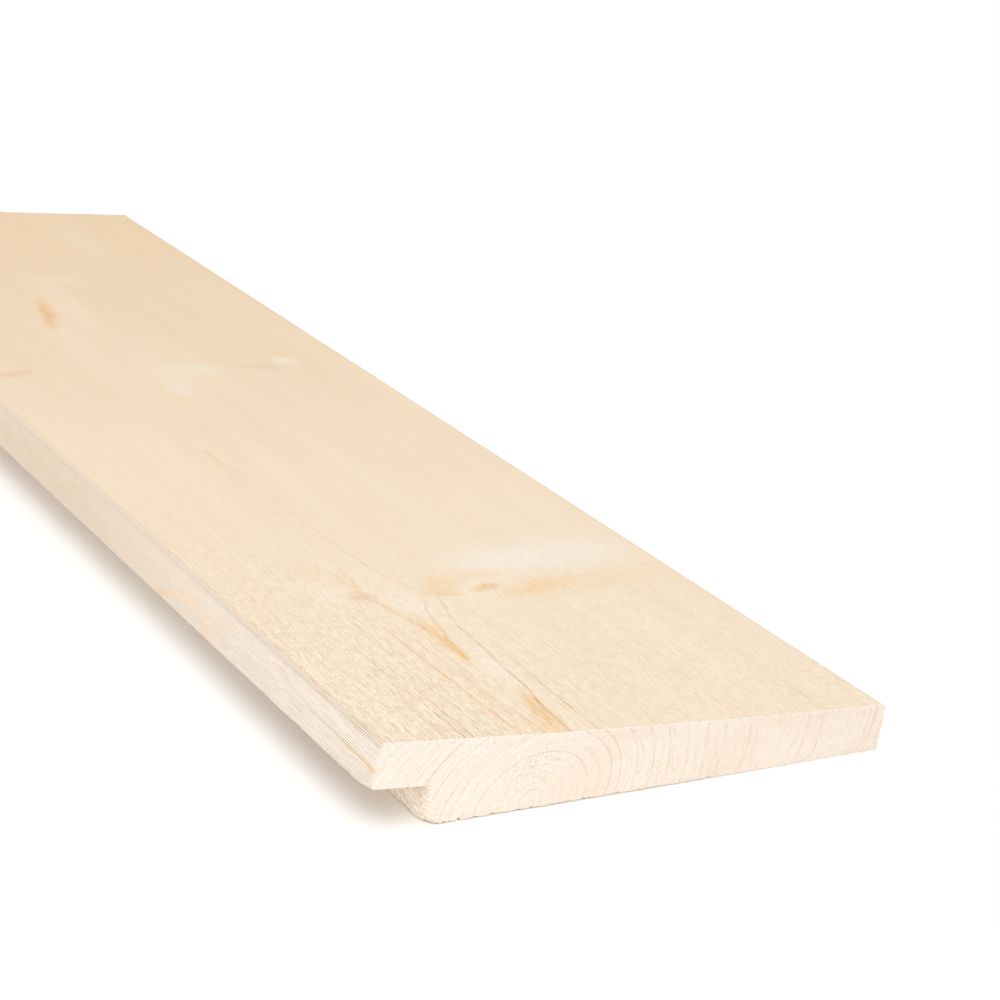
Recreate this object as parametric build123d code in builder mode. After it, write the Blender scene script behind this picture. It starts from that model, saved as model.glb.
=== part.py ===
"""A rebated weatherboard: one softwood board, tapered across its width, for lapped cladding.

The board lies on its sawn back with its weather face up, as it does before it is fixed.
X runs across the width from the thick edge to the thin edge, Y along the grain and Z up.
The origin is on the back, straight below the middle of the face.
"""

import os
from math import atan2, cos, sin

from build123d import *

# Driving dimensions, in millimetres
board_width = 140.0  # along the face, from the outside of the lip to the thin edge
board_length = 500.0  # from saw cut to saw cut
thick_edge = 22.0  # face to back in line with the outside of the lip
thin_edge = 12.0  # face to back at the edge that laps into the next board
lip_thickness = 12.2  # face to underside of the lip
rebate_width = 15.0  # how far the lip covers the next board
face_hollow = 0.8  # how far the face has cupped below a straight line from edge to edge
lip_lean = 1.0  # how far the top of the lip's edge is planed back from its outside
lip_lean_height = 6.5  # face to the height where that lean starts

# Corners eased by the moulder's knives
lip_nose_radius = 0.6  # lower corner of the lip, where rain drips off
lip_belly_radius = 20.0  # where the lip's edge starts to lean
lip_arris_radius = 1.0  # the face's long edge along the lip
thin_arris_radius = 0.5  # the face's long edge along the thin side
heel_radius = 0.6  # back corner beside the rebate
tail_radius = 0.8  # back corner of the thin edge

# The rebate and the edges, but for the lip's lean, are planed square to the face.
# The back is sawn on a slant.
# Laid on its back, the board turns by that slant and its face falls towards the thin edge.
taper = atan2(thick_edge - thin_edge, board_width)
face_height = (thick_edge + thin_edge) / 2 * cos(taper)
face_plane = Plane(
    origin=(0, 0, face_height),
    x_dir=(cos(taper), 0, -sin(taper)),
    z_dir=(0, -1, 0),
)

# Corners of the section before they are eased, as (across from mid-face, up from the face)
thick_side = -board_width / 2
thin_side = board_width / 2
shoulder = thick_side + rebate_width
shoulder_thickness = thick_edge - (thick_edge - thin_edge) * rebate_width / board_width
lip_top = (thick_side + lip_lean, 0)
lip_belly = (thick_side, -lip_lean_height)
lip_nose = (thick_side, -lip_thickness)
rebate_root = (shoulder, -lip_thickness)
heel = (shoulder, -shoulder_thickness)
tail = (thin_side, -thin_edge)
thin_top = (thin_side, 0)


def corner_at(sketch, point):
    """The sketch's vertex at one of the section's corners."""
    return sketch.vertices().sort_by_distance(point)[0]


with BuildPart() as board:
    # The section as seen looking along the grain: the lip to the left, the face on top
    with BuildSketch(face_plane) as section:
        with BuildLine():
            # Drawn from the thin edge to the lip, a positive sagitta dips into the wood
            SagittaArc(thin_top, lip_top, face_hollow)
            Polyline(lip_top, lip_belly, lip_nose, rebate_root, heel, tail, thin_top)
        make_face()
        eased_corners = {
            lip_top: lip_arris_radius,
            lip_belly: lip_belly_radius,
            thin_top: thin_arris_radius,
            lip_nose: lip_nose_radius,
            heel: heel_radius,
            tail: tail_radius,
        }
        for point, radius in eased_corners.items():
            fillet(corner_at(section.sketch_local, point), radius=radius)
    extrude(amount=board_length / 2, both=True)

board.part.label = "board"

os.makedirs("parts", exist_ok=True)
export_step(board.part, "parts/board.step")
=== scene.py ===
"""Looks of a rebated weatherboard: one fresh spruce board lying on its sawn back, weather face up.

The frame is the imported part's, in metres: X runs across the width from the lip to the thin edge,
Y along the grain and Z up from the back. The section is drawn square to the face, as it is planed,
and then laid over by the taper of the back. Materials work in that face's own frame, in millimetres:
across from mid-face, along from mid-length, and up from the face.
"""

import math
import random

import bmesh
import bpy
from mathutils import Matrix, Vector, noise


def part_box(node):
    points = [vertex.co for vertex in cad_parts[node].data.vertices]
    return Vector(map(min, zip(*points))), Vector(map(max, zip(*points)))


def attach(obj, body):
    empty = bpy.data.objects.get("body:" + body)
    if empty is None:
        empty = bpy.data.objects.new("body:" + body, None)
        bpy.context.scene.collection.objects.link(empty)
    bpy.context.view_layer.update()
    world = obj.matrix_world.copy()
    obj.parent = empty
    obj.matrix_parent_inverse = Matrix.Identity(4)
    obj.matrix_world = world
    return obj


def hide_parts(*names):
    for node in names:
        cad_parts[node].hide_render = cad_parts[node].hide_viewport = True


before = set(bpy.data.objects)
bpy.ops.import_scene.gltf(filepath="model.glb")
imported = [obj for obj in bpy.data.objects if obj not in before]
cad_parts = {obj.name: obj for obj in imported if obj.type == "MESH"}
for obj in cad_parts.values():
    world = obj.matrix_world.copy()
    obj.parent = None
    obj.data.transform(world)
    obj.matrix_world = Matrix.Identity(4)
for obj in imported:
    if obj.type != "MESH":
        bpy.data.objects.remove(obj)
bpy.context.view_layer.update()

board_low, board_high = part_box("board")
chance = random.Random(7)

MM = 0.001

# The section's sizes, the same as the solid's
BOARD_WIDTH = 140 * MM
THICK_EDGE = 22 * MM
THIN_EDGE = 12 * MM
LIP_THICKNESS = 12.2 * MM
REBATE_WIDTH = 15 * MM
FACE_HOLLOW = 0.8 * MM
LIP_LEAN = 1.0 * MM
LIP_LEAN_HEIGHT = 6.5 * MM

# How far from each corner of the section its rounding starts
LIP_NOSE_EASE = 0.6 * MM
LIP_BELLY_EASE = 1.5 * MM
LIP_ARRIS_EASE = 0.86 * MM
THIN_ARRIS_EASE = 0.5 * MM
HEEL_EASE = 0.57 * MM
TAIL_EASE = 0.83 * MM

# Where the section's lines lie, across from mid-face and down from the face
THICK_SIDE = -BOARD_WIDTH / 2
THIN_SIDE = BOARD_WIDTH / 2
SHOULDER = THICK_SIDE + REBATE_WIDTH
SLOPE = (THICK_EDGE - THIN_EDGE) / BOARD_WIDTH
TAPER = math.atan(SLOPE)
FACE_HEIGHT = (THICK_EDGE + THIN_EDGE) / 2 * math.cos(TAPER)
NEAR_CUT, FAR_CUT = board_low[1], board_high[1]
BOARD_LENGTH = FAR_CUT - NEAR_CUT

# Planer lines along the lip's edge
GROOVE_PITCH = 0.54 * MM
GROOVE_DEPTH = 0.08 * MM

# How finely the mesh is divided
ON_GROOVES = GROOVE_PITCH / 4
ON_SHOULDER = 0.35 * MM
ON_BACK = 0.7 * MM
ON_FACE = 1.4 * MM
FRAYED_LENGTH = 6 * MM
BY_THE_CUT = 0.5 * MM
BETWEEN_CUTS = 3 * MM

# Wear: how deep it goes and how far it reaches
NICK_DEPTH = 0.55 * MM
NICK_PITCH = 1.1 * MM
NICK_REACH = 1.2 * MM
SAW_RIPPLE = 0.12 * MM
EDGE_WAVE = 0.15 * MM
WORN_REACH = 3 * MM
LIP_NOSE_WEAR = (Vector((0.1, 0, 0.1)) * MM, 9 * MM)  # how far in at the cut, and how far along
HEEL_WEAR = (Vector((1.6, 0, 0.8)) * MM, 5 * MM)
CORNER_WEAR = 0.3 * MM
LIP_LIFT = 1.3 * MM
LIP_LIFT_REACH = 3 * MM
LIP_LIFT_LENGTH = 10 * MM

# Torn fibres that hang from the lip's lower edge, as (along, length)
LIP_SPLINTERS = (
    (-194 * MM, 2.4 * MM), (-181 * MM, 1.6 * MM), (-176 * MM, 2.8 * MM), (-149 * MM, 1.8 * MM),
    (-60 * MM, 2.0 * MM), (35 * MM, 1.6 * MM), (130 * MM, 2.2 * MM), (208 * MM, 1.5 * MM),
)
HEEL_SPLINTERS = (
    (-248 * MM, 0.8 * MM), (-246.5 * MM, 1.2 * MM), (-244 * MM, 0.9 * MM), (-242.5 * MM, 1.4 * MM),
    (-240 * MM, 0.8 * MM), (-237 * MM, 1.1 * MM), (236 * MM, 1.2 * MM), (243 * MM, 1.0 * MM),
)
ARRIS_TUFTS = 90

# Material places on the board's mesh
FACE, EDGE, END_GRAIN, SAWN = range(4)


def back_at(x):
    """How far the sawn back lies below the face, at a place across the width."""
    return THICK_EDGE - SLOPE * (x - THICK_SIDE)


def face_at(x):
    """How far the cupped face lies below a straight line from edge to edge."""
    return FACE_HOLLOW * (1 - (x / THIN_SIDE) ** 2)


def lip_side(z):
    """Where the lip's edge lies across the width, at a height: its upper part leans in."""
    return THICK_SIDE + LIP_LEAN * max(0, 1 + z / LIP_LEAN_HEIGHT)


# Shape of the board


def section_outline():
    """The near saw cut as one flat face with its corners eased."""
    corners = {
        "lip top": (THICK_SIDE + LIP_LEAN, 0),
        "lip belly": (THICK_SIDE, -LIP_LEAN_HEIGHT),
        "lip nose": (THICK_SIDE, -LIP_THICKNESS),
        "rebate root": (SHOULDER, -LIP_THICKNESS),
        "heel": (SHOULDER, -back_at(SHOULDER)),
        "tail": (THIN_SIDE, -THIN_EDGE),
        "thin top": (THIN_SIDE, 0),
    }
    easing = {
        "lip top": LIP_ARRIS_EASE,
        "lip belly": LIP_BELLY_EASE,
        "lip nose": LIP_NOSE_EASE,
        "heel": HEEL_EASE,
        "tail": TAIL_EASE,
        "thin top": THIN_ARRIS_EASE,
    }
    bm = bmesh.new()
    at = {name: bm.verts.new((x, NEAR_CUT, z)) for name, (x, z) in corners.items()}
    bm.faces.new(at.values())
    for name, start in easing.items():
        bmesh.ops.bevel(
            bm, geom=[at[name]], offset=start, offset_type="OFFSET", affect="VERTICES",
            segments=4, profile=0.5, material=-1,
        )
    return bm


def is_lip_edge(co):
    """Whether a point of the section is on the lip's edge, between its eased corners."""
    between_corners = -LIP_THICKNESS + LIP_NOSE_EASE * 0.9 < co.z < -LIP_ARRIS_EASE * 0.9
    return between_corners and abs(co.x - lip_side(co.z)) < 0.1 * MM


def is_shoulder(co):
    """Whether a point of the section is on the rebate's shoulder."""
    return abs(co.x - SHOULDER) < 0.01 * MM and co.z < -LIP_THICKNESS + 0.01 * MM


def is_back(co):
    """Whether a point of the section is on the sawn back."""
    return co.x > SHOULDER and abs(co.z + back_at(co.x)) < 0.01 * MM


def divide_long_sides(bm):
    """Cuts each long side of the outline into short lengths, the finest where planer lines run."""
    for edge in list(bm.edges):
        a, b = (v.co for v in edge.verts)
        if is_lip_edge(a) and is_lip_edge(b):
            spacing = ON_GROOVES
        elif is_shoulder(a) and is_shoulder(b):
            spacing = ON_SHOULDER
        elif is_back(a) and is_back(b):
            spacing = ON_BACK
        else:
            spacing = ON_FACE
        cuts = round(edge.calc_length() / spacing) - 1
        if cuts > 0:
            bmesh.ops.subdivide_edges(bm, edges=[edge], cuts=cuts)


def hollow_the_face(bm):
    """Sinks the face into the shallow hollow that it has cupped to."""
    for v in bm.verts:
        if v.co.z > -LIP_ARRIS_EASE * 1.1:
            v.co.z -= face_at(v.co.x)


def plane_grooves(bm):
    """Runs the planer's fine lines along the lip's edge."""
    for v in bm.verts:
        if is_lip_edge(v.co):
            wave = 0.5 - 0.5 * math.cos(math.tau * v.co.z / GROOVE_PITCH)
            v.co.x += GROOVE_DEPTH * wave * chance.uniform(0.5, 1)


def draw_out(bm):
    """Draws the section out along the grain: fine by the saw cuts, where edges fray, and coarse between."""
    stretches = (
        (FRAYED_LENGTH, BY_THE_CUT),
        (BOARD_LENGTH - 2 * FRAYED_LENGTH, BETWEEN_CUTS),
        (FRAYED_LENGTH, BY_THE_CUT),
    )
    cut = bm.faces[:]
    for length, step in stretches:
        drawn = bmesh.ops.extrude_face_region(bm, geom=cut)["geom"]
        cut = [part for part in drawn if isinstance(part, bmesh.types.BMFace)]
        rim = [part for part in drawn if isinstance(part, bmesh.types.BMVert)]
        bmesh.ops.translate(bm, verts=rim, vec=(0, length, 0))
        ribs = {
            edge for v in rim for edge in v.link_edges
            if abs(edge.verts[0].co.y - edge.verts[1].co.y) > length / 2
        }
        bmesh.ops.subdivide_edges(
            bm, edges=list(ribs), cuts=round(length / step) - 1, use_grid_fill=True
        )
    bmesh.ops.recalc_face_normals(bm, faces=bm.faces)


def from_cut(v):
    """How far a vertex is from the nearer saw cut."""
    return BOARD_LENGTH / 2 - abs(v.co.y)


def roughen_back(bm):
    """Leaves the back rippled by the saw, with small nicks torn out of its edges at the saw cuts."""
    for v in bm.verts:
        if not is_back(v.co):
            continue
        x, y = v.co.x, v.co.y
        ripple = 0.5 + 0.5 * noise.noise(Vector((x / (25 * MM), y / (5 * MM), 0)))
        v.co.z += SAW_RIPPLE * ripple * min(1, from_cut(v) / (4 * MM))
        if from_cut(v) < NICK_REACH:
            torn = noise.noise(Vector((x / NICK_PITCH, math.copysign(5, y), 2)))
            nick = NICK_DEPTH * (0.35 + max(0, torn) * 1.5) * (1 - from_cut(v) / NICK_REACH)
            v.co.z += nick
            v.co.y -= math.copysign(0.4 * nick, y)


def wear_upright_corners(bm):
    """Rounds the lip's upright corners at the saw cuts."""
    for v in bm.verts:
        if from_cut(v) < 0.01 * MM and is_lip_edge(v.co):
            v.co.x += CORNER_WEAR


def lift_lip_ends(bm):
    """Thins the lip from below by the saw cuts."""
    for v in bm.verts:
        low = v.co.z + LIP_THICKNESS
        if v.co.x < SHOULDER + 0.01 * MM and -0.01 * MM < low < LIP_LIFT_REACH:
            by_cut = max(0, 1 - from_cut(v) / LIP_LIFT_LENGTH) ** 2
            v.co.z += LIP_LIFT * by_cut * (1 - max(low, 0) / LIP_LIFT_REACH)


def wear_lower_edge(bm, x, z, wear, length):
    """Wears one long lower edge a little uneven, and rounds it off by the saw cuts."""
    for v in bm.verts:
        away = math.hypot(v.co.x - x, v.co.z - z)
        if away < WORN_REACH:
            share = (1 - away / WORN_REACH) ** 2 * 1.5
            by_cut = max(0, 1 - from_cut(v) / length) ** 2
            wave = EDGE_WAVE * noise.noise(Vector((x, v.co.y / (9 * MM), 4)))
            v.co += wear * share * by_cut + Vector((abs(wave), 0, abs(wave))) * share


def name_surfaces(bm):
    """Tells apart the weather face, the planed edges, the saw cuts and the sawn back."""
    bm.normal_update()
    for face in bm.faces:
        if abs(face.normal.y) > 0.7:
            face.material_index = END_GRAIN
        elif face.normal.z > 0.7:
            face.material_index = FACE
        elif face.normal.z < -0.85 and face.calc_center_median().z < -LIP_THICKNESS - 0.3 * MM:
            face.material_index = SAWN
        else:
            face.material_index = EDGE


def add_splinter(bm, root, tip, thickness):
    """One torn fibre: a thin spike with its root in the wood."""
    reach = tip - root
    turn = reach.to_track_quat("Z", "Y").to_matrix().to_4x4()
    spike = bmesh.ops.create_cone(
        bm, cap_ends=True, segments=4, radius1=thickness / 2, radius2=thickness / 10,
        depth=reach.length, matrix=Matrix.Translation((root + tip) / 2) @ turn,
    )
    for v in spike["verts"]:
        for face in v.link_faces:
            face.material_index = EDGE


def hang_splinters(bm):
    """Torn fibres along the lower edges of the lip and of the shoulder, nearly in line with the grain."""
    for along, length in LIP_SPLINTERS:
        root = Vector((THICK_SIDE + 0.5 * MM, along, -LIP_THICKNESS + 0.35 * MM))
        add_splinter(bm, root, root + Vector((-0.5 * MM, length, -0.6 * MM)), 0.22 * MM)
    for along, length in HEEL_SPLINTERS:
        root = Vector((SHOULDER + 0.3 * MM, along, -back_at(SHOULDER) + 0.6 * MM))
        add_splinter(bm, root, root + Vector((-0.6 * MM, length, -0.1 * MM)), 0.35 * MM)


def raise_tufts(bm):
    """Short fibres that the saw lifted along the top and the bottom of both cuts."""
    for side in (NEAR_CUT, FAR_CUT):
        out = math.copysign(1, side)
        for _ in range(ARRIS_TUFTS):
            x = chance.uniform(THICK_SIDE + 1 * MM, THIN_SIDE - 1 * MM)
            root = Vector((x, side - out * 0.25 * MM, -face_at(x) - 0.1 * MM))
            lean = chance.uniform(-0.5, 0.5) * MM
            tip = root + Vector((lean, out * chance.uniform(0.2, 0.45) * MM, chance.uniform(0.15, 0.35) * MM))
            add_splinter(bm, root, tip, chance.uniform(0.15, 0.35) * MM)
            x = chance.uniform(SHOULDER + 3 * MM, THIN_SIDE - 1 * MM)
            root = Vector((x, side - out * 0.3 * MM, -back_at(x) + 0.3 * MM))
            tip = root + Vector((lean, out * chance.uniform(0.5, 0.9) * MM, chance.uniform(0, 0.1) * MM))
            add_splinter(bm, root, tip, chance.uniform(0.2, 0.45) * MM)


def add_torn_fibres(bm):
    """Makes all the torn fibres on their own and adds them to the board."""
    fibres = bmesh.new()
    hang_splinters(fibres)
    raise_tufts(fibres)
    loose = bpy.data.meshes.new("torn fibres")
    fibres.to_mesh(loose)
    fibres.free()
    bm.from_mesh(loose)
    bpy.data.meshes.remove(loose)


def weatherboard():
    """The board's mesh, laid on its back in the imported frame."""
    bm = section_outline()
    divide_long_sides(bm)
    hollow_the_face(bm)
    plane_grooves(bm)
    draw_out(bm)
    wear_upright_corners(bm)
    lift_lip_ends(bm)
    wear_lower_edge(bm, THICK_SIDE, -LIP_THICKNESS, *LIP_NOSE_WEAR)
    roughen_back(bm)
    wear_lower_edge(bm, SHOULDER, -back_at(SHOULDER), *HEEL_WEAR)
    name_surfaces(bm)
    add_torn_fibres(bm)
    lay = Matrix.Translation((0, 0, FACE_HEIGHT)) @ Matrix.Rotation(TAPER, 4, "Y")
    bmesh.ops.transform(bm, matrix=lay, verts=bm.verts)
    mesh = bpy.data.meshes.new("weatherboard")
    bm.to_mesh(mesh)
    bm.free()
    mesh.shade_smooth()
    mesh.set_sharp_from_angle(angle=math.radians(30))
    piece = bpy.data.objects.new("weatherboard", mesh)
    bpy.context.scene.collection.objects.link(piece)
    return piece


# Growth of the tree, in millimetres in the face's own frame

# The pith wanders a little along the board, as (along, across) and (along, depth below the face)
PITH_ACROSS = (
    (-250, -23.3), (-229, -24.3), (-210, -23.5), (-190, -22.9), (-174, -22.3), (-163, -22.0),
    (-150, -22.9), (-130, -23.2), (-90, -23.0), (-50, -23.0), (0, -21.0), (100, -19.0),
    (250, -16.0),
)
PITH_DEPTH = (
    (-250, 16.95), (-229, 16.3), (-210, 15.8), (-197, 15.5), (-190, 15.32), (-183, 15.1),
    (-174, 14.7), (-163, 13.6), (-150, 14.5), (-130, 14.9), (-90, 15.2), (-50, 15.4),
    (0, 16.0), (100, 16.2), (250, 16.6),
)
RINGS_LEAN = 0.3  # the rings' middle moves across by this much of the height above the pith
RINGS_FLAT = 0.855  # the rings are wider than they are high, by this ratio

# Branches: where the rings bow, as (across, along, reach across, reach along, push in radius)
RING_BOWS = (
    (-31, -164, 5, 7, 1.2),
    (8, -161, 12, 7, 2.5),
    (34, -159, 20, 7, 2.5),
    (-72, -150, 8, 14, 3.0),
    (-55, 27, 6, 9, 2.5),
    (4, 24, 14, 9, 2.0),
    (38, 39, 9, 8, 2.5),
)

# Lines of the figure in the face, as ((along, across), ...), ((along, strength), ...), half breadth, colour
RESIN_LINE = (
    ((-250, -20.3), (-240, -19.7), (-232, -18.9), (-223, -17.2), (-212, -16.6), (-200, -15.3),
     (-187, -14.7), (-179, -13.4), (-173, -11.6), (-167, -10.0), (-164, -9.0)),
    ((-250, 1), (-226, 1), (-210, 0.8), (-190, 0.6), (-170, 0.45), (-165, 0.3), (-162, 0)),
    0.6, (222, 176, 112),
)
ARROW_RIGHT = (
    ((-206, -23.3), (-193, -22.0), (-189, -20.6), (-181, -19.4), (-173, -17.2), (-166.7, -14.4),
     (-162, -13.9), (-152, -16.1), (-143, -18.3), (-120, -20.0), (-90, -20.6), (-64, -21.6), (-50, -23.0)),
    ((-207, 0), (-200, 0.9), (-185, 0.8), (-175, 0.55), (-162, 0.4), (-140, 0.4), (-115, 0.3), (-80, 0.25),
     (-58, 0.4), (-50, 0.5), (-46, 0)), 1.1, (232, 196, 146),
)
ARROW_LEFT = (
    ((-206, -23.3), (-194, -23.4), (-181, -25.6), (-170, -28.9), (-166, -29.8), (-158, -29.0),
     (-150, -27.6), (-120, -26.5), (-90, -25.4), (-64, -24.4), (-50, -23.2)),
    ((-207, 0), (-200, 1), (-185, 0.95), (-175, 0.6), (-169, 0), (-160, 0), (-157, 0.6), (-150, 0.3),
     (-120, 0.1), (-80, 0.15), (-58, 0.35), (-50, 0.5), (-46, 0)),
    1.5, (243, 200, 144),
)
LEFT_LINE = (
    ((-250, -33.3), (-232, -34.0), (-211, -34.5), (-182, -35.0)),
    ((-250, 0.9), (-205, 0.85), (-190, 0.6), (-176, 0)), 0.5, (234, 188, 132),
)
YELLOW_LINE = (
    ((-250, -26.7), (-240, -27.9), (-227, -29.3), (-211, -30.1), (-184, -31.1)),
    ((-250, 0.8), (-215, 0.8), (-195, 0.6), (-180, 0)), 0.5, (236, 196, 132),
)
RIGHT_LINE = (
    ((-250, -12.7), (-232, -12.5), (-220, -12.0), (-206, -11.2), (-190, -10.4)),
    ((-250, 1), (-228, 0.9), (-218, 0.35), (-206, 0.3), (-190, 0)), 0.4, (202, 170, 118),
)
OUTER_LINE = (
    ((-250, -47.7), (-240, -47.9), (-227, -48.5), (-206, -48.6)),
    ((-250, 1), (-238, 0.9), (-222, 0.6), (-210, 0.7), (-200, 0)), 0.36, (206, 162, 104),
)
OUTER_TWIN = (
    ((-250, -45.6), (-230, -45.8), (-201, -46.4)),
    ((-250, 1), (-240, 0.9), (-230, 0.5), (-196, 0)), 0.36, (208, 166, 110),
)
OUTER_SHORT = (
    ((-250, -52.4), (-236, -52.6), (-226, -53.0)),
    ((-250, 1), (-240, 0.9), (-228, 0)), 0.34, (210, 170, 114),
)
FIGURE = (
    RESIN_LINE, ARROW_RIGHT, ARROW_LEFT, LEFT_LINE, YELLOW_LINE, RIGHT_LINE, OUTER_LINE, OUTER_TWIN,
    OUTER_SHORT,
)

# Summer growth that stands out, as (radius from the pith, strength, breadth)
FACE_RINGS_NEAR_PITH = (
    (18.6, 0.30, 0.22), (20.2, 0.40, 0.22), (21.8, 0.50, 0.22), (23.4, 0.55, 0.22), (25.2, 0.60, 0.22),
    (26.7, 0.95, 0.26), (28.2, 0.40, 0.22), (29.6, 0.90, 0.26), (31.4, 0.45, 0.22), (33.5, 0.35, 0.22),
)
FACE_RINGS_OUTSIDE = (
    (36.0, 0.25, 0.5), (41.5, 0.25, 0.5), (47.6, 0.60, 0.6), (48.9, 0.50, 0.6), (55.0, 0.25, 0.6),
    (62.7, 0.35, 0.6), (67.7, 0.70, 0.9), (78.2, 0.40, 0.6),
)
CUT_RINGS_NEAR_PITH = (
    (2.6, 0.30, 0.25), (4.4, 0.35, 0.25), (6.6, 0.30, 0.25), (8.6, 0.30, 0.25), (12.0, 0.75, 0.25),
    (14.7, 0.25, 0.25), (17.3, 0.80, 0.28), (19.4, 0.70, 0.28), (23.0, 0.75, 0.28), (26.6, 0.95, 0.28),
)
CUT_RINGS_OUTSIDE = (
    (30.2, 0.60, 0.3), (34.5, 0.50, 0.3), (38.8, 0.55, 0.3), (42.6, 0.45, 0.3), (48.7, 0.90, 0.3),
    (50.4, 0.40, 0.3), (62.7, 0.85, 0.3), (66.2, 0.70, 0.3), (78.2, 0.75, 0.3), (79.7, 0.85, 0.3),
)

# Marks in the face, as (across, along, half width, half length, turn, softness, colour, strength)
FACE_MARKS = (
    # Pale wood around the first branches and beside the resin line
    (24, -141, 15, 8, 8, 0.8, (248, 238, 225), 0.8),
    (46, -139, 18, 10, 12, 0.8, (247, 236, 221), 0.75),
    (-38, -160, 5, 9, -15, 0.7, (250, 234, 213), 0.6),
    (-20, -171, 5, 9, 0, 0.7, (250, 236, 217), 0.7),
    (-18.5, -215, 3.2, 16, -5, 0.8, (251, 239, 222), 0.6),
    (6, -161.5, 11, 5.5, 18, 0.6, (250, 235, 214), 0.85),
    # Resin in the arrow's point and beside the near end of the line
    (-23.2, -197, 1.8, 9, -4, 0.8, (243, 206, 156), 0.75),
    (-23.2, -187, 3.0, 9, 0, 0.8, (247, 217, 174), 0.75),
    (-21.2, -237, 2.5, 11, -8, 0.8, (240, 199, 144), 0.9),
    (-24.5, -247, 4, 5, 0, 0.8, (246, 213, 168), 0.7),
    # Orange wood around the branches
    (-37, -145, 4, 10, 0, 0.8, (244, 222, 190), 0.6),
    (-30.3, -154, 1.4, 7, 0, 0.8, (244, 213, 176), 0.7),
    (-27.8, -170.5, 1.2, 3, 0, 0.8, (240, 203, 162), 0.7),
    (-7.5, -163.2, 4.5, 1.6, 0, 0.9, (241, 205, 158), 0.8),
    (-5, -157.5, 6.5, 4.2, 35, 0.8, (247, 216, 176), 0.95),
    (7, -151.5, 11, 2.2, 6, 0.9, (248, 222, 188), 0.75),
    (34, -160.5, 24, 5.5, 10, 0.8, (247, 220, 184), 0.8),
    (22, -162, 10, 3, 20, 0.8, (245, 211, 166), 0.75),
    # The knots themselves
    (7.6, -160.4, 4.4, 1.8, 16, 0.9, (235, 195, 142), 0.9),
    (-30.6, -164, 4.3, 3.9, 0, 0.3, (237, 208, 178), 0.7),
    (-30.6, -164, 3.1, 2.8, 0, 0.4, (243, 218, 190), 0.6),
    (-30.2, -164.4, 1.3, 1.2, 0, 0.8, (233, 198, 166), 0.7),
    # The far branches
    (7, 36, 11, 5.5, 0, 0.5, (244, 228, 206), 0.8),
    (-3, 24, 5.5, 10, -14, 0.6, (244, 227, 205), 0.75),
    (-6.5, 12.5, 3.2, 5, -12, 0.8, (246, 229, 211), 0.8),
    (-9, 7, 2, 2.5, 0, 0.8, (243, 214, 174), 0.6),
    (35, 39, 6, 3.6, 0, 0.8, (232, 208, 175), 0.7),
    (45.5, 45, 4.6, 4.6, 0, 0.8, (247, 231, 212), 0.85),
    (-56, 27.5, 7, 2.6, 25, 0.9, (235, 196, 161), 0.75),
    (19, 46, 3, 3, 0, 0.9, (243, 212, 174), 0.5),
    (-20, 62, 2.6, 28, -3, 0.8, (244, 225, 196), 0.55),
    # A resin streak and the pale wood about it
    (-17.2, 102, 2.2, 17, -14, 0.8, (236, 190, 134), 0.9),
    (-6, 112, 6, 24, -4, 0.8, (244, 226, 200), 0.6),
    (1, 147, 12, 7, 0, 0.8, (243, 223, 196), 0.6),
    (33, 203, 6, 16, 0, 0.8, (243, 222, 196), 0.6),
)

# Marks in the lip's edge, as (along, up, half length, half height, turn, softness, colour, strength)
LIP_MARKS = (
    (-247, -6.4, 5, 0.5, 2, 0.8, (236, 192, 142), 0.6),
    (-233, -6.1, 14, 0.25, 1.5, 0.8, (208, 176, 140), 0.55),
    (-205, -4.2, 12, 0.30, 4, 0.7, (238, 208, 184), 0.5),
    (-168, -4.4, 8, 0.25, 2, 0.7, (236, 204, 180), 0.5),
    (-146, -6.6, 8, 0.7, -6, 0.7, (244, 212, 172), 0.6),
    (-131, -10.4, 6, 0.8, -16, 0.7, (236, 198, 154), 0.6),
    (-158, -9.2, 2, 2.6, 0, 0.8, (243, 212, 178), 0.5),
)
IGNORED = 1e6  # a reach so long that a mark takes no notice of that direction


class Amount:
    """A number that varies over the board, so that nodes can be written as plain sums."""

    def __init__(self, tree, socket):
        self.tree = tree
        self.socket = socket

    def sum(self, operation, *others):
        made = self.tree.nodes.new("ShaderNodeMath")
        made.operation = operation
        for socket, value in zip(made.inputs, (self, *others)):
            feed(self.tree, socket, value)
        return Amount(self.tree, made.outputs[0])

    def __add__(self, other):
        return self.sum("ADD", other)

    def __sub__(self, other):
        return self.sum("SUBTRACT", other)

    def __mul__(self, other):
        return self.sum("MULTIPLY", other)

    def squared(self):
        return self.sum("MULTIPLY", self)

    def root(self):
        return self.sum("SQRT")

    def larger(self, other):
        return self.sum("MAXIMUM", other)

    def fade(self, start, end):
        """Rises smoothly from 0 at start to 1 at end, or falls where start is the higher."""
        if start < end:
            return self.between(start, end, 0, 1, "SMOOTHSTEP")
        return self.between(end, start, 1, 0, "SMOOTHSTEP")

    def between(self, start, end, first, last, way="LINEAR"):
        """Goes from first at start to last at end, and stays there beyond."""
        made = self.tree.nodes.new("ShaderNodeMapRange")
        made.interpolation_type = way
        names = ("Value", "From Min", "From Max", "To Min", "To Max")
        for name, value in zip(names, (self, start, end, first, last)):
            feed(self.tree, made.inputs[name], value)
        return Amount(self.tree, made.outputs["Result"])


def feed(tree, socket, value):
    """Gives a node's socket a value, or links it to what it should follow."""
    if isinstance(value, Amount):
        value = value.socket
    if isinstance(value, bpy.types.NodeSocket):
        tree.links.new(value, socket)
    else:
        socket.default_value = value


def tone(red, green, blue):
    """A colour as a picture shows it, 0 to 255, as the linear values that Blender takes."""
    def linear(value):
        share = value / 255
        return share / 12.92 if share <= 0.04045 else ((share + 0.055) / 1.055) ** 2.4
    return (linear(red), linear(green), linear(blue), 1)


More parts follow.
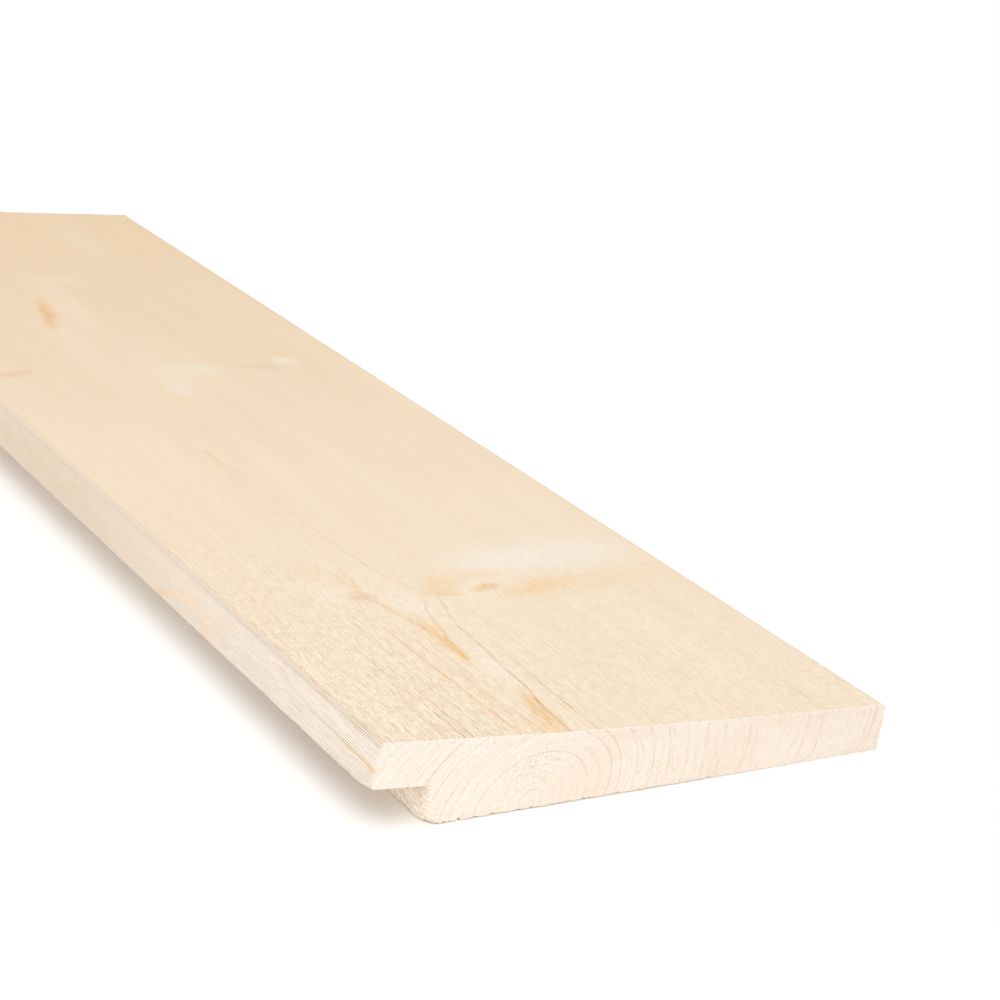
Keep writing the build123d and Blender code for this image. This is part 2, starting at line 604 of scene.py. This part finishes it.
def moved(tree, place, location, turn, size, kind):
    """A place shifted, turned and scaled by a Mapping node."""
    made = tree.nodes.new("ShaderNodeMapping")
    made.vector_type = kind
    made.inputs["Location"].default_value = location
    made.inputs["Rotation"].default_value = turn
    made.inputs["Scale"].default_value = size
    tree.links.new(place, made.inputs["Vector"])
    return made.outputs["Vector"]


def measured(tree, operation, first, second=None):
    """A number from vectors, such as a length."""
    made = tree.nodes.new("ShaderNodeVectorMath")
    made.operation = operation
    tree.links.new(first, made.inputs[0])
    if second is not None:
        tree.links.new(second, made.inputs[1])
    return Amount(tree, made.outputs["Value"])


def board_place(tree):
    """Where a point lies in the face's own frame, in millimetres."""
    where = tree.nodes.new("ShaderNodeTexCoord")
    height = FACE_HEIGHT / MM
    at = (height * math.sin(TAPER), 0, -height * math.cos(TAPER))
    return moved(tree, where.outputs["Object"], at, (0, -TAPER, 0), (1 / MM,) * 3, "POINT")


def split(tree, place):
    """The three numbers of a place: across, along and up."""
    made = tree.nodes.new("ShaderNodeSeparateXYZ")
    tree.links.new(place, made.inputs["Vector"])
    return [Amount(tree, made.outputs[axis]) for axis in "XYZ"]


def joined(tree, *numbers):
    """A place made of up to three numbers."""
    made = tree.nodes.new("ShaderNodeCombineXYZ")
    for socket, number in zip(made.inputs, numbers):
        feed(tree, socket, number)
    return made.outputs["Vector"]


def grains(tree, place, size, detail=2.0, offset=(0, 0, 0)):
    """A noise node in grains of the given size in millimetres."""
    made = tree.nodes.new("ShaderNodeTexNoise")
    made.inputs["Scale"].default_value = 1
    made.inputs["Detail"].default_value = detail
    stretched = moved(tree, place, offset, (0, 0, 0), [1 / s for s in size], "POINT")
    tree.links.new(stretched, made.inputs["Vector"])
    return made


def speckle(tree, place, size, detail=2.0, offset=(0, 0, 0)):
    """Soft random values about 0.5 in grains of the given size in millimetres."""
    return Amount(tree, grains(tree, place, size, detail, offset).outputs["Fac"])


def jostled(tree, place, size, by):
    """A place pushed about at random, so that what is drawn there loses its clean outline."""
    push = tree.nodes.new("ShaderNodeVectorMath")
    push.operation = "MULTIPLY_ADD"
    tree.links.new(grains(tree, place, size).outputs["Color"], push.inputs[0])
    push.inputs[1].default_value = (by,) * 3
    centred = moved(tree, place, (-by / 2,) * 3, (0, 0, 0), (1, 1, 1), "POINT")
    tree.links.new(centred, push.inputs[2])
    return push.outputs["Vector"]


def follow(tree, along, points):
    """A value that follows given points along the board."""
    lowest = min(value for _, value in points)
    highest = max(value for _, value in points)
    near, far = points[0][0], points[-1][0]
    made = tree.nodes.new("ShaderNodeFloatCurve")
    curve = made.mapping.curves[0]
    placed = [((y - near) / (far - near), (v - lowest) / (highest - lowest)) for y, v in points]
    curve.points[0].location = placed[0]
    curve.points[1].location = placed[-1]
    for x, y in placed[1:-1]:
        curve.points.new(x, y)
    for point in curve.points:
        point.handle_type = "AUTO_CLAMPED"
    made.mapping.update()
    feed(tree, made.inputs["Value"], along.between(near, far, 0, 1))
    return Amount(tree, made.outputs["Value"]) * (highest - lowest) + lowest


def figure_line(tree, across, along, course, strengths, breadth):
    """One line of the figure, which follows a course given along the face."""
    off = (across - follow(tree, along, course)).sum("ABSOLUTE")
    return off.fade(breadth, 0) * follow(tree, along, strengths)


def ring_lines(tree, radius, rings):
    """The summer growth of many years, up to ten, drawn by one ramp."""
    start = rings[0][0] - 1
    end = rings[-1][0] + 1
    made = tree.nodes.new("ShaderNodeValToRGB")
    ramp = made.color_ramp
    ramp.elements[0].color = ramp.elements[1].color = (0, 0, 0, 1)
    for ring, strength, breadth in rings:
        for place, shade in ((ring - breadth, 0), (ring, strength), (ring + 0.15, 0)):
            stop = ramp.elements.new((place - start) / (end - start))
            stop.color = (shade, shade, shade, 1)
    feed(tree, made.inputs["Fac"], radius.between(start, end, 0, 1))
    return Amount(tree, made.outputs["Color"])


def mixed(tree, first, second, share):
    """Two colours mixed by a share of the second."""
    made = tree.nodes.new("ShaderNodeMix")
    made.data_type = "RGBA"
    sockets = {socket.identifier: socket for socket in made.inputs}
    feed(tree, sockets["Factor_Float"], share)
    feed(tree, sockets["A_Color"], first)
    feed(tree, sockets["B_Color"], second)
    return next(out for out in made.outputs if out.identifier == "Result_Color")


def shaded(tree, colour, change):
    """A colour made lighter or darker by a share of itself, which shows most in the blue."""
    shares = tree.nodes.new("ShaderNodeVectorMath")
    shares.operation = "SCALE"
    shares.inputs[0].default_value = (0.8, 1.0, 1.35)
    feed(tree, shares.inputs["Scale"], change)
    made = tree.nodes.new("ShaderNodeVectorMath")
    made.operation = "MULTIPLY_ADD"
    tree.links.new(colour, made.inputs[0])
    tree.links.new(shares.outputs["Vector"], made.inputs[1])
    tree.links.new(colour, made.inputs[2])
    return made.outputs["Vector"]


def spot(tree, place, x, y, wide, long, turn, soft):
    """A soft-edged oval, 1 inside and 0 outside."""
    size = (wide, long, IGNORED)
    from_middle = moved(tree, place, (x, y, 0), (0, 0, math.radians(turn)), size, "TEXTURE")
    return measured(tree, "LENGTH", from_middle).fade(1 + soft, 1 - soft)


def growth_group():
    """A node group that tells how the tree grew at a point of the board."""
    tree = bpy.data.node_groups.new("spruce_growth", "ShaderNodeTree")
    outputs = tree.nodes.new("NodeGroupOutput")
    place = board_place(tree)
    across, along, up = split(tree, place)

    middle = follow(tree, along, PITH_ACROSS) + up * RINGS_LEAN
    above = up + follow(tree, along, PITH_DEPTH)
    radius = (((across - middle) * RINGS_FLAT).squared() + above.squared()).root()
    for x, y, reach_across, reach_along, push in RING_BOWS:
        size = (reach_across, reach_along, IGNORED)
        from_branch = moved(tree, place, (x, y, 0), (0, 0, 0), size, "TEXTURE")
        far = measured(tree, "DOT_PRODUCT", from_branch, from_branch)
        radius = radius + (far * -1).sum("EXPONENT") * push
    sway = (speckle(tree, place, (30, 110, 30)) - 0.5) * 2.4
    tremble = (speckle(tree, place, (2.5, 22, 2.5), offset=(7, 3, 1)) - 0.5) * 0.18
    radius = radius + sway * radius.fade(18, 40) + tremble

    # Fine growth between the lines that stand out
    years = tree.nodes.new("ShaderNodeTexNoise")
    years.noise_dimensions = "1D"
    years.inputs["Scale"].default_value = 1
    years.inputs["Detail"].default_value = 3
    feed(tree, years.inputs["W"], radius * 0.75)
    fine = Amount(tree, years.outputs["Fac"]).fade(0.5, 0.72)

    for name, kind, value in (
        ("Place", "NodeSocketVector", place),
        ("Radius", "NodeSocketFloat", radius),
        ("Fine lines", "NodeSocketFloat", fine),
    ):
        tree.interface.new_socket(name, in_out="OUTPUT", socket_type=kind)
        feed(tree, outputs.inputs[name], value)
    return tree


def grown(tree, growth):
    """The growth group in a material: the place, the ring's radius and the fine lines."""
    made = tree.nodes.new("ShaderNodeGroup")
    made.node_tree = growth
    radius, fine = (Amount(tree, made.outputs[name]) for name in ("Radius", "Fine lines"))
    return made.outputs["Place"], radius, fine


# Finishes of the board


def new_material(name):
    """An empty material with its shader, which is dry wood with hardly any shine."""
    material = bpy.data.materials.new(name)
    material.use_nodes = True
    shader = material.node_tree.nodes["Principled BSDF"]
    shader.inputs["Specular IOR Level"].default_value = 0.2
    return material, material.node_tree, shader


def finish_surface(tree, shader, colour, height, depth, smooth, rough):
    """Gives the shader its colour, its fine relief of the given depth, and its roughness."""
    tree.links.new(colour, shader.inputs["Base Color"])
    bump = tree.nodes.new("ShaderNodeBump")
    bump.inputs["Strength"].default_value = 1
    bump.inputs["Distance"].default_value = depth
    feed(tree, bump.inputs["Height"], height)
    tree.links.new(bump.outputs["Normal"], shader.inputs["Normal"])
    feed(tree, shader.inputs["Roughness"], height.between(0.3, 0.7, rough, smooth))


def cream_wood(tree, place, along):
    """Plain spruce: paler at the near end, tanner at the far end, in long soft streaks."""
    streaks = speckle(tree, place, (9, 160, 9), offset=(3, 0, 0))
    clouds = speckle(tree, place, (45, 90, 45), offset=(0, 5, 0))
    tan = along.between(-260, 250, 0, 1) + (streaks - 0.5) * 0.45 + (clouds - 0.5) * 0.4
    return mixed(tree, tone(248, 231, 207), tone(238, 211, 176), tan.fade(-0.15, 1.15))


def weather_face(growth):
    """The planed face: cream wood with fibres, summer lines, a resin streak, knots and pale patches."""
    material, tree, shader = new_material("weather_face")
    place, radius, fine = grown(tree, growth)
    across, along, up = split(tree, place)
    colour = cream_wood(tree, place, along)

    # Summer lines, clearest by the near cut and towards the lip
    fibres = speckle(tree, place, (0.15, 4.5, 0.15), 1)
    broken = speckle(tree, place, (0.5, 7, 0.5), 2, (9, 2, 0)).between(0.4, 0.6, 0.25, 1)
    near = along.between(-245, -150, 1, 0.15) * across.between(-35, -5, 1, 0.6)
    lines = ring_lines(tree, radius, FACE_RINGS_NEAR_PITH) + ring_lines(tree, radius, FACE_RINGS_OUTSIDE)
    colour = mixed(tree, colour, tone(243, 215, 178), fine * near * 0.35)
    colour = mixed(tree, colour, tone(232, 186, 132), lines * broken * near * 0.9)
    grain = speckle(tree, place, (0.3, 45, 0.3), 1.5, (2, 0, 6)).fade(0.53, 0.62) * broken
    colour = mixed(tree, colour, tone(226, 188, 136), grain * near * across.between(-45, -10, 0.65, 0.35))

    by_corner = across.fade(-25, -50) * along.fade(-150, -220)
    colour = mixed(tree, colour, tone(249, 233, 213), by_corner * 0.35)

    # Knots, resin and pale wood lie in the face only
    in_face = up.fade(-7, -3)
    streaky = speckle(tree, place, (0.9, 5, 0.9), 2, (0, 7, 3)).between(0.35, 0.65, 0.6, 1.15) * in_face
    loose = jostled(tree, place, (4, 6, 4), 4)
    for x, y, wide, long, turn, soft, shade, strength in FACE_MARKS:
        share = spot(tree, loose, x, y, wide, long, turn, soft) * streaky * strength
        colour = mixed(tree, colour, tone(*shade), share)

    # Lines of the figure, broken up by the fibres
    wavy = split(tree, jostled(tree, place, (1.5, 6, 1.5), 0.5))[0]
    patchy = broken.between(0.25, 1, 0.4, 1) * in_face
    for course, strengths, breadth, shade in FIGURE:
        share = figure_line(tree, wavy, along, course, strengths, breadth) * patchy
        colour = mixed(tree, colour, tone(*shade), share)

    # Painted light and shade: the fibres' relief is painted into the colour as light flecks and dark dashes,
    # most of all by the near cut and towards the lip
    painted_highlight_flecks = speckle(tree, place, (0.16, 1.8, 0.16), 1, (5, 1, 2))
    crisp = across.between(-45, -12, 1.1, 0.6) * along.between(-245, -60, 1, 0.12, "SMOOTHSTEP")
    light = painted_highlight_flecks.fade(0.53, 0.64) * 0.2 - fibres.fade(0.5, 0.62) * 0.25
    # Painted shade on the rounded arris by the lip, where the lamps would light it brighter than the face
    colour = mixed(tree, colour, tone(216, 197, 176), across.fade(-67.2, -69.2) * 0.9)
    colour = shaded(tree, colour, light * crisp)

    # A light rag of fibres where the saw left the face
    rag = speckle(tree, place, (0.7, 0.5, 0.7), 1, (1, 6, 0)) * 1.2 - 0.25
    torn = (along * -1 - 250 + rag).fade(-0.25, -0.05)
    colour = mixed(tree, colour, tone(255, 248, 238), torn)
    finish_surface(tree, shader, colour, fibres, 0.06 * MM, 0.55, 0.7)
    return material


def planed_edge(growth):
    """The lip's edge, the rebate and the thin edge: cream wood with the planer's lines along it."""
    material, tree, shader = new_material("planed_edge")
    place, radius, fine = grown(tree, growth)
    across, along, up = split(tree, place)
    on_shoulder = across.fade(-64, -60) * across.fade(60, 0)
    colour = mixed(tree, tone(236, 225, 213), tone(221, 203, 183), along.fade(-240, -60))
    # Painted shade along the top of the edge, where the rounded arris would catch the lamps' light
    colour = mixed(tree, colour, tone(212, 196, 179), up.fade(-2.2, -0.4) * 0.75)
    colour = mixed(tree, colour, tone(226, 196, 164), fine * 0.2)
    # Painted light and shade on the shoulder: paler than the other edges to stand in for light under the lip,
    # and darker up under the lip away from the near cut, where shade falls
    in_shade = up.fade(-17, -12.4) * along.fade(-250, -243)
    shoulder_painted_light_and_shade = mixed(tree, tone(255, 243, 229), tone(232, 209, 186), in_shade)
    colour = mixed(tree, colour, shoulder_painted_light_and_shade, on_shoulder)

    # Streaks and curls of summer growth in the lip's edge
    side = joined(tree, along, up)
    loose = jostled(tree, side, (9, 1.5, 1), 0.8)
    on_lip = across.fade(-60, -66)
    bent = jostled(tree, side, (18, 3, 1), 8)
    curls = speckle(tree, bent, (40, 2, 1), 1.5, (3, 1, 0)).fade(0.48, 0.58)
    far_lip = on_lip * along.fade(-140, -20) * up.fade(-11, -6)
    colour = mixed(tree, colour, tone(212, 191, 162), curls * far_lip * 0.4)
    for y, z, long, high, turn, soft, shade, strength in LIP_MARKS:
        share = spot(tree, loose, y, z, long, high, turn, soft) * on_lip * strength
        colour = mixed(tree, colour, tone(*shade), share)

    # The planer's lines, painted as light and shade: thin dark grooves of painted shade between broad ridges
    # of painted highlight, broken here and there, with specks of painted light and shade on the shoulder
    fibres = speckle(tree, place, (0.3, 6, 0.25), 2)
    specks = speckle(tree, place, (0.3, 1.0, 0.22), 0, (2, 8, 1))
    wave = (up * (math.tau * MM / GROOVE_PITCH)).sum("COSINE")
    broken = speckle(tree, place, (1, 9, 0.7), 2, (4, 4, 4)).between(0.35, 0.6, 0.45, 1)
    lines = wave.fade(0.1, 1) * 0.16 - wave.fade(0, -0.9) * broken * 0.5
    lines = lines * along.fade(-250, -248.8)
    rough = specks.fade(0.5, 0.62) * 0.1 - specks.fade(0.5, 0.38) * 0.16
    near = along.between(-245, -90, 1, 0.08, "SMOOTHSTEP")
    light = lines * on_shoulder.between(0, 1, 1, 0.55) + rough * on_shoulder.between(0, 1, 0.2, 1)
    light = (light - fibres.fade(0.5, 0.7) * 0.08) * near
    colour = shaded(tree, colour, light)
    finish_surface(tree, shader, colour, fibres, 0.08 * MM, 0.6, 0.75)
    return material


def saw_cut(growth):
    """The sawn ends: pale wood with its rings, and fine pits where fibres were torn."""
    material, tree, shader = new_material("saw_cut")
    place, radius, fine = grown(tree, growth)
    across, along, up = split(tree, place)
    clouds = speckle(tree, place, (14, 30, 6), offset=(0, 0, 4))
    colour = mixed(tree, tone(250, 237, 223), tone(248, 231, 214), clouds.fade(0.3, 0.7))
    colour = mixed(tree, colour, tone(250, 240, 228), across.fade(0, -45) * 0.7)
    lines = ring_lines(tree, radius, CUT_RINGS_NEAR_PITH) + ring_lines(tree, radius, CUT_RINGS_OUTSIDE)
    worn = speckle(tree, place, (6, 6, 4), 1, (3, 0, 9)).between(0.35, 0.65, 0.35, 1)
    colour = mixed(tree, colour, tone(244, 225, 203), fine * 0.3)
    colour = mixed(tree, colour, tone(206, 166, 120), lines * worn * 0.65)
    sway = (speckle(tree, place, (7, 7, 7), 1, (8, 0, 2)) - 0.5) * 9
    years = (radius * (math.tau / 2.4) + sway).sum("COSINE").fade(0.85, 1)
    dashes = speckle(tree, place, (1.6, 1.6, 1.6), 2, (5, 5, 0)).fade(0.4, 0.6)
    colour = mixed(tree, colour, tone(222, 192, 162), years * dashes * 0.3)

    # Torn fibres stand up; their light and shade is painted into the colour as light and dark specks, most of
    # all in one rough patch by the pith
    pits = speckle(tree, place, (0.22, 0.22, 0.22), 1)
    rough = spot(tree, joined(tree, across, up), -29, -9.5, 7, 4, 25, 0.6) * 1.2 + 1
    light = (pits.fade(0.54, 0.68) * 0.08 - pits.fade(0.46, 0.32) * 0.14) * rough
    colour = shaded(tree, colour, light)
    finish_surface(tree, shader, colour, pits, 0.1 * MM, 0.7, 0.85)
    return material


def sawn_back(growth):
    """The back, as the band saw left it: rough, with marks across the grain."""
    material, tree, shader = new_material("sawn_back")
    place, radius, fine = grown(tree, growth)
    fibres = speckle(tree, place, (0.6, 6, 0.6), 3)
    marks = speckle(tree, place, (60, 1.3, 60), 2, (4, 0, 0))
    colour = mixed(tree, tone(247, 230, 204), tone(238, 211, 176), fibres.fade(0.4, 0.7))
    lines = ring_lines(tree, radius, CUT_RINGS_NEAR_PITH) + ring_lines(tree, radius, CUT_RINGS_OUTSIDE)
    colour = mixed(tree, colour, tone(228, 186, 136), lines * 0.5 + fine * 0.25)
    colour = shaded(tree, colour, marks.between(0.3, 0.7, -0.07, 0.05))
    finish_surface(tree, shader, colour, fibres * 0.4 + marks * 0.6, 0.25 * MM, 0.75, 0.9)
    return material


# Stage


def seen_directly(tree):
    """1 for what the camera sees itself, in a mirror or through glass, and 0 for light on its way."""
    path = tree.nodes.new("ShaderNodeLightPath")
    camera, mirror, glass = (
        Amount(tree, path.outputs[name])
        for name in ("Is Camera Ray", "Is Glossy Ray", "Is Transmission Ray")
    )
    return camera.larger(mirror).larger(glass)


def white_paper():
    """The floor: plain paper, shown so light that only the board's shadow is left on it."""
    material = bpy.data.materials.new("white_paper")
    material.use_nodes = True
    tree = material.node_tree
    tree.nodes.remove(tree.nodes["Principled BSDF"])
    seen = seen_directly(tree)
    paper = tree.nodes.new("ShaderNodeBsdfDiffuse")
    tree.links.new(mixed(tree, (0.9, 0.9, 0.9, 1), (1.05, 1.05, 1.05, 1), seen), paper.inputs["Color"])
    white = tree.nodes.new("ShaderNodeEmission")
    where = tree.nodes.new("ShaderNodeTexCoord")
    size = (0.13, 0.42, 1)
    from_shadow = moved(tree, where.outputs["Object"], (-0.09, -0.02, 0), (0, 0, 0), size, "TEXTURE")
    far = measured(tree, "LENGTH", from_shadow).fade(0.8, 1.4)
    blend = tree.nodes.new("ShaderNodeMixShader")
    feed(tree, blend.inputs["Fac"], far * seen)
    tree.links.new(paper.outputs["BSDF"], blend.inputs[1])
    tree.links.new(white.outputs["Emission"], blend.inputs[2])
    tree.links.new(blend.outputs["Shader"], tree.nodes["Material Output"].inputs["Surface"])
    return material


def lay_floor():
    """A wide sheet just below the board's back."""
    mesh = bpy.data.meshes.new("floor")
    bm = bmesh.new()
    bmesh.ops.create_grid(bm, x_segments=1, y_segments=1, size=4)
    bmesh.ops.translate(bm, verts=bm.verts, vec=(0, 0, -0.05 * MM))
    bm.to_mesh(mesh)
    bm.free()
    mesh.materials.append(white_paper())
    floor = bpy.data.objects.new("floor", mesh)
    bpy.context.scene.collection.objects.link(floor)


def hang_lamp(name, location, size, power):
    """A broad soft lamp turned to the middle of the board."""
    lamp = bpy.data.lights.new(name, "AREA")
    lamp.energy = power
    lamp.size = size
    stand = bpy.data.objects.new(name, lamp)
    stand.location = location
    stand.rotation_euler = (-stand.location).to_track_quat("-Z", "Y").to_euler()
    bpy.context.scene.collection.objects.link(stand)


def light_studio():
    """White light from all round, a broad lamp above on the left, and two low fill lamps."""
    world = bpy.data.worlds.new("studio")
    bpy.context.scene.world = world
    world.use_nodes = True
    tree = world.node_tree
    background = tree.nodes["Background"]
    background.inputs["Color"].default_value = (1, 1, 1, 1)
    feed(tree, background.inputs["Strength"], seen_directly(tree).between(0, 1, 0.57, 1))
    hang_lamp("key", (-0.5, -0.75, 1.45), 1.6, 14)
    hang_lamp("front fill", (-1.0, -1.05, 0.25), 0.6, 5)
    hang_lamp("back fill", (-0.5, 1.5, 0.5), 0.8, 8.5)


def set_camera():
    """A long lens, a little rolled, above the near end and to the left of it."""
    forward = Vector((0.489234, 0.808242, -0.327712)).normalized()
    up = Vector((0.08681, 0.328757, 0.940416)).normalized()
    right = forward.cross(up).normalized()
    up = right.cross(forward)
    lens = bpy.data.cameras.new("camera")
    lens.sensor_width = 36
    lens.lens = 92.605
    lens.clip_start = 0.01
    camera = bpy.data.objects.new("camera", lens)
    turn = Matrix((right, up, -forward)).transposed().to_4x4()
    camera.matrix_world = Matrix.Translation((-0.31443, -0.69472, 0.25617)) @ turn
    bpy.context.scene.collection.objects.link(camera)
    bpy.context.scene.camera = camera


board = weatherboard()
growth = growth_group()
for finish in (weather_face, planed_edge, saw_cut, sawn_back):
    board.data.materials.append(finish(growth))
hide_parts("board")
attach(board, "root")

lay_floor()
light_studio()
set_camera()
bpy.context.scene.view_settings.view_transform = "Standard"
